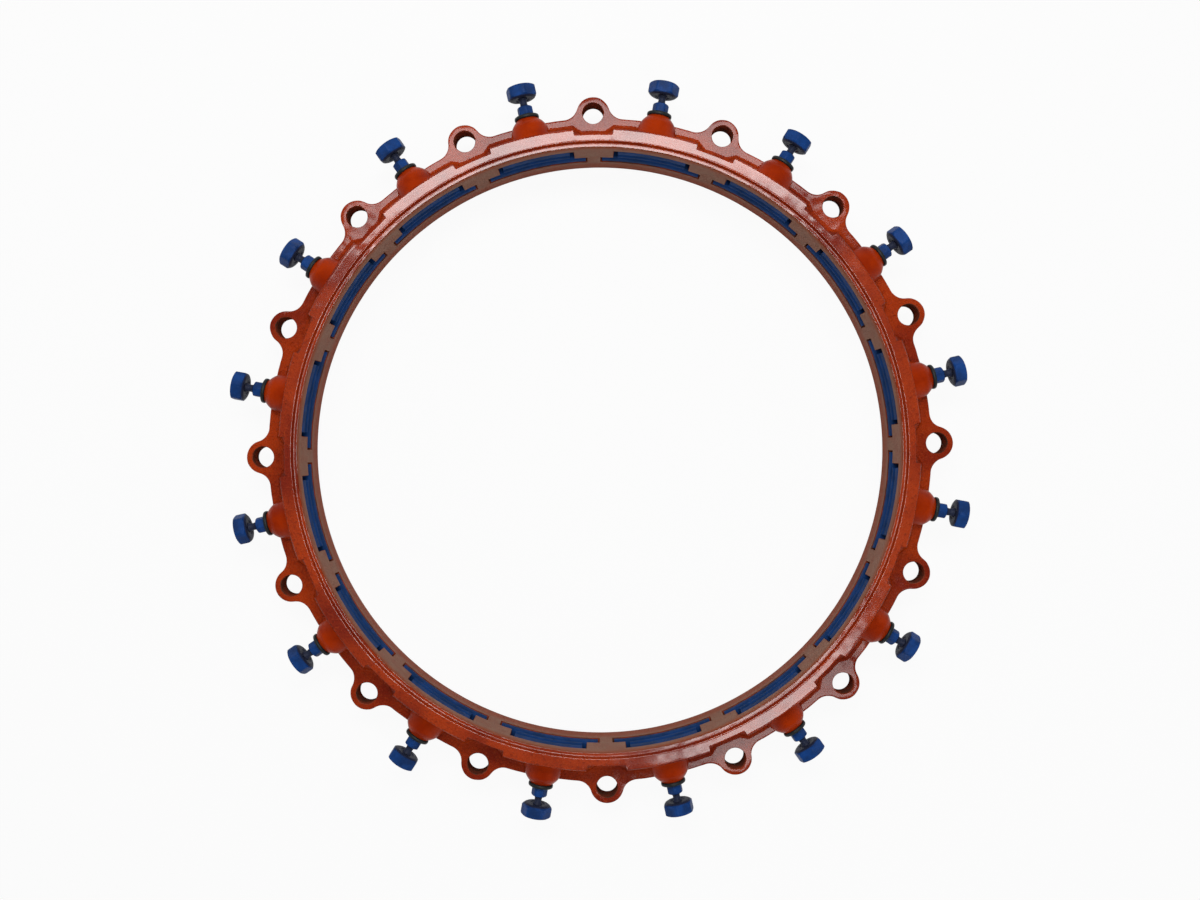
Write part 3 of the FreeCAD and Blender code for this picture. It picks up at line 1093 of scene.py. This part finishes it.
    def build(self) -> list[bpy.types.Object]:
        """Makes and dresses every screw.

        Returns:
            The screws, in the order of their stations.
        """
        coat = BlueCoat("screw_coat", (0.006, 0.046, 0.200), (0.005, 0.026, 0.105), 0.40, 0.10,
                        1.4 * MM, 0.30 * MM).material()
        pieces = []
        for i in range(STATIONS):
            skin = self.skin(i * self.spin_step).turned(ear_angle(i + 0.5))
            piece = make_object("drive_screw_%02d" % (i + 1), skin, 28.0)
            piece.data.materials.append(coat)
            node = "screw_%02d" % (i + 1)
            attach(piece, node)
            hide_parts(node)
            pieces.append(piece)
        return pieces


@dataclass
class SealRings:
    """Black rubber rings round the screws, each a closed tube on its boss face."""

    height: float = 52 * MM
    face: float = 381 * MM
    thickness: float = 4.3 * MM
    hole_radius: float = 9.725 * MM
    outer_radius: float = 14 * MM
    squareness: float = 0.7

    def skin(self) -> Surface:
        """One ring on +Y: an oval section carried round the screw's axis.

        The section is (sign(cos s) |cos s|^q, sign(sin s) |sin s|^q) with q the squareness.

        Returns:
            The ring's skin.
        """
        turn = np.linspace(0, 2 * math.pi, 44, endpoint=False)[:, None]
        section = np.linspace(0, 2 * math.pi, 16, endpoint=False)[None, :]
        middle = (self.hole_radius + self.outer_radius) / 2
        half = (self.outer_radius - self.hole_radius) / 2
        full = np.sign(np.cos(section)) * np.abs(np.cos(section)) ** self.squareness
        tall = np.sign(np.sin(section)) * np.abs(np.sin(section)) ** self.squareness
        radius = middle + half * full
        along = self.face + self.thickness / 2 * (1 + tall)
        grid = np.stack([radius * np.cos(turn), along + 0 * turn,
                         self.height + radius * np.sin(turn)], axis=-1)
        return Surface.tube(grid, False)

    def build(self) -> bpy.types.Object:
        """Makes and dresses the rings as one piece.

        Returns:
            The rings.
        """
        piece = make_object("screw_seals", self.skin().ringed(0.5), 80.0)
        piece.data.materials.append(SealRubber().material())
        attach(piece, "gland")
        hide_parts("seal_rings")
        return piece


@dataclass
class Wedges:
    """The toothed wedges: the frame's own solids with their edges eased."""

    edge: float = 0.7 * MM
    flat_angle: float = math.radians(0.4)
    sharp_angle: float = math.radians(28)

    def build(self) -> list[bpy.types.Object]:
        """Makes and dresses every wedge.

        Returns:
            The wedges, in the order of their stations.
        """
        coat = BlueCoat("wedge_coat", (0.009, 0.042, 0.160), (0.007, 0.028, 0.095), 0.60, 0.03,
                        2.0 * MM, 0.35 * MM).material()
        pieces = []
        for i in range(STATIONS):
            node = "wedge_%02d" % (i + 1)
            mesh = bpy.data.meshes.new("toothed_" + node)
            shape = bmesh.new()
            shape.from_mesh(frame["nodes"][node].data)
            bmesh.ops.remove_doubles(shape, verts=shape.verts, dist=1e-6)
            bmesh.ops.dissolve_limit(shape, angle_limit=self.flat_angle, verts=shape.verts,
                                     edges=shape.edges)
            shape.to_mesh(mesh)
            shape.free()
            piece = bpy.data.objects.new("toothed_" + node, mesh)
            bpy.context.scene.collection.objects.link(piece)
            smooth(mesh, 25.0)
            ease = piece.modifiers.new("eased_edges", "BEVEL")
            ease.width = self.edge
            ease.segments = 2
            ease.limit_method = "ANGLE"
            ease.angle_limit = self.sharp_angle
            mesh.materials.append(coat)
            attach(piece, node)
            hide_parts(node)
            pieces.append(piece)
        return pieces


@dataclass(frozen=True)
class Lamp:
    """A rectangular soft lamp: its place and aim in metres, width, depth and watts."""

    name: str
    place: tuple[float, float, float]
    aim: tuple[float, float, float]
    width: float
    depth: float
    power: float

    def build(self) -> bpy.types.Object:
        """Hangs the lamp, facing its aim.

        Returns:
            The lamp.
        """
        data = bpy.data.lights.new(self.name, "AREA")
        data.shape = "RECTANGLE"
        data.size = self.width
        data.size_y = self.depth
        data.energy = self.power
        lamp = bpy.data.objects.new(self.name, data)
        lamp.location = self.place
        facing = Vector(self.aim) - Vector(self.place)
        lamp.rotation_euler = facing.to_track_quat("-Z", "Y").to_euler()
        bpy.context.scene.collection.objects.link(lamp)
        return lamp


@dataclass
class Studio:
    """Pale floor, soft lamps and the camera that looks straight down on the ring."""

    camera_height: float = 1.350
    lens: float = 34.5
    sensor: float = 36.0
    roll: float = math.radians(-1.2)
    floor_reach: float = 6.0
    floor_drop: float = 0.3 * MM
    zenith: float = 0.07
    horizon: float = 1.12
    lamps: tuple[Lamp, ...] = (
        Lamp("far_lamp", (-0.05, 0.90, 1.9), (-0.02, 0.35, 0), 1.55, 0.55, 25),
        Lamp("near_lamp", (0.50, -0.80, 1.9), (0.2, -0.3, 0), 0.62, 0.42, 6),
        Lamp("overhead_lamp", (0.0, 0.0, 2.6), (0, 0, 0), 0.6, 0.6, 15.5),
    )

    def floor(self) -> bpy.types.Object:
        """A wide floor, white to the camera, gloss and glass, that keeps a faint shadow.

        Returns:
            The floor.
        """
        reach = self.floor_reach
        corners = [(x, y, -self.floor_drop) for x, y in
                   ((-reach, -reach), (reach, -reach), (reach, reach), (-reach, reach))]
        mesh = bpy.data.meshes.new("floor")
        mesh.from_pydata(corners, [], [[0, 1, 2, 3]])
        piece = bpy.data.objects.new("floor", mesh)
        bpy.context.scene.collection.objects.link(piece)
        tree = Tree("floor_white")
        paper = tree.node("ShaderNodeBsdfDiffuse", {}, Color=(0.60, 0.60, 0.60))
        glow = tree.node("ShaderNodeEmission", {}, Color=(1.0, 1.0, 1.0), Strength=1.0)
        seen = sum((tree.node("ShaderNodeLightPath", {}, pick=ray) for ray in
                    ("Is Glossy Ray", "Is Transmission Ray")),
                   tree.node("ShaderNodeLightPath", {}, pick="Is Camera Ray"))
        mixed = tree.node("ShaderNodeMixShader", {}, seen * 0.93, paper, glow)
        tree.links.new(mixed.link, tree.output.inputs["Surface"])
        mesh.materials.append(tree.material)
        return piece

    def world(self) -> None:
        """Surroundings that are white at the horizon and darker overhead.

        The strength is zenith + (horizon - zenith) (1 - s)^2, with s = 3z^2 - 2z^3 for a
        direction of height z.
        """
        world = bpy.data.worlds.new("surroundings")
        world.use_nodes = True
        bpy.context.scene.world = world
        tree = Tree.of_world(world)
        z = tree.split(tree.place)[2]
        falling = (1 - z.ramp(0.0, 1.0)) ** 2.0
        strength = falling * (self.horizon - self.zenith) + self.zenith
        sky = tree.node("ShaderNodeBackground", {}, Color=(1.0, 1.0, 1.0), Strength=strength)
        tree.links.new(sky.link, tree.output.inputs["Surface"])

    def camera(self) -> None:
        """Puts the camera over the ring's centre, looking straight down."""
        data = bpy.data.cameras.new("overhead")
        data.lens = self.lens
        data.sensor_width = self.sensor
        camera = bpy.data.objects.new("overhead", data)
        camera.location = (0.0, 0.0, self.camera_height)
        camera.rotation_euler = (0.0, 0.0, self.roll)
        bpy.context.scene.collection.objects.link(camera)
        bpy.context.scene.camera = camera

    def build(self) -> None:
        """Makes the floor, the lamps and the camera."""
        self.floor()
        self.world()
        self.camera()
        for lamp in self.lamps:
            lamp.build()


def casting_from_frame() -> Casting:
    """The casting's sizes, with the bore and the bolt circle read from the frame's mounts.

    Returns:
        The casting, not yet built.
    """
    mounts = {mount["name"]: mount["dims"] for mount in frame["record"]["mounts"]}
    return Casting(
        bore=mounts["pipe_bore"]["r_mm"] * MM,
        bolt_circle=mounts["bolt_circle"]["pcd_mm"] / 2 * MM,
        bolt_hole=mounts["bolt_circle"]["hole_r_mm"] * MM,
        top=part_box("gland_ring")[1].z,
    )


def main() -> None:
    """Builds every piece in order."""
    logging.basicConfig(level=logging.INFO, format="%(name)s: %(message)s")
    builders: list[tuple[str, Callable[[], Any]]] = [
        ("studio", Studio().build),
        ("casting", casting_from_frame().build),
        ("seal rings", SealRings().build),
        ("screws", Screws().build),
        ("wedges", Wedges().build),
    ]
    for name, build in builders:
        build()
        log.info("built the %s", name)
    scene = bpy.context.scene
    scene.view_settings.view_transform = "Standard"


if __name__ == "__main__":
    main()
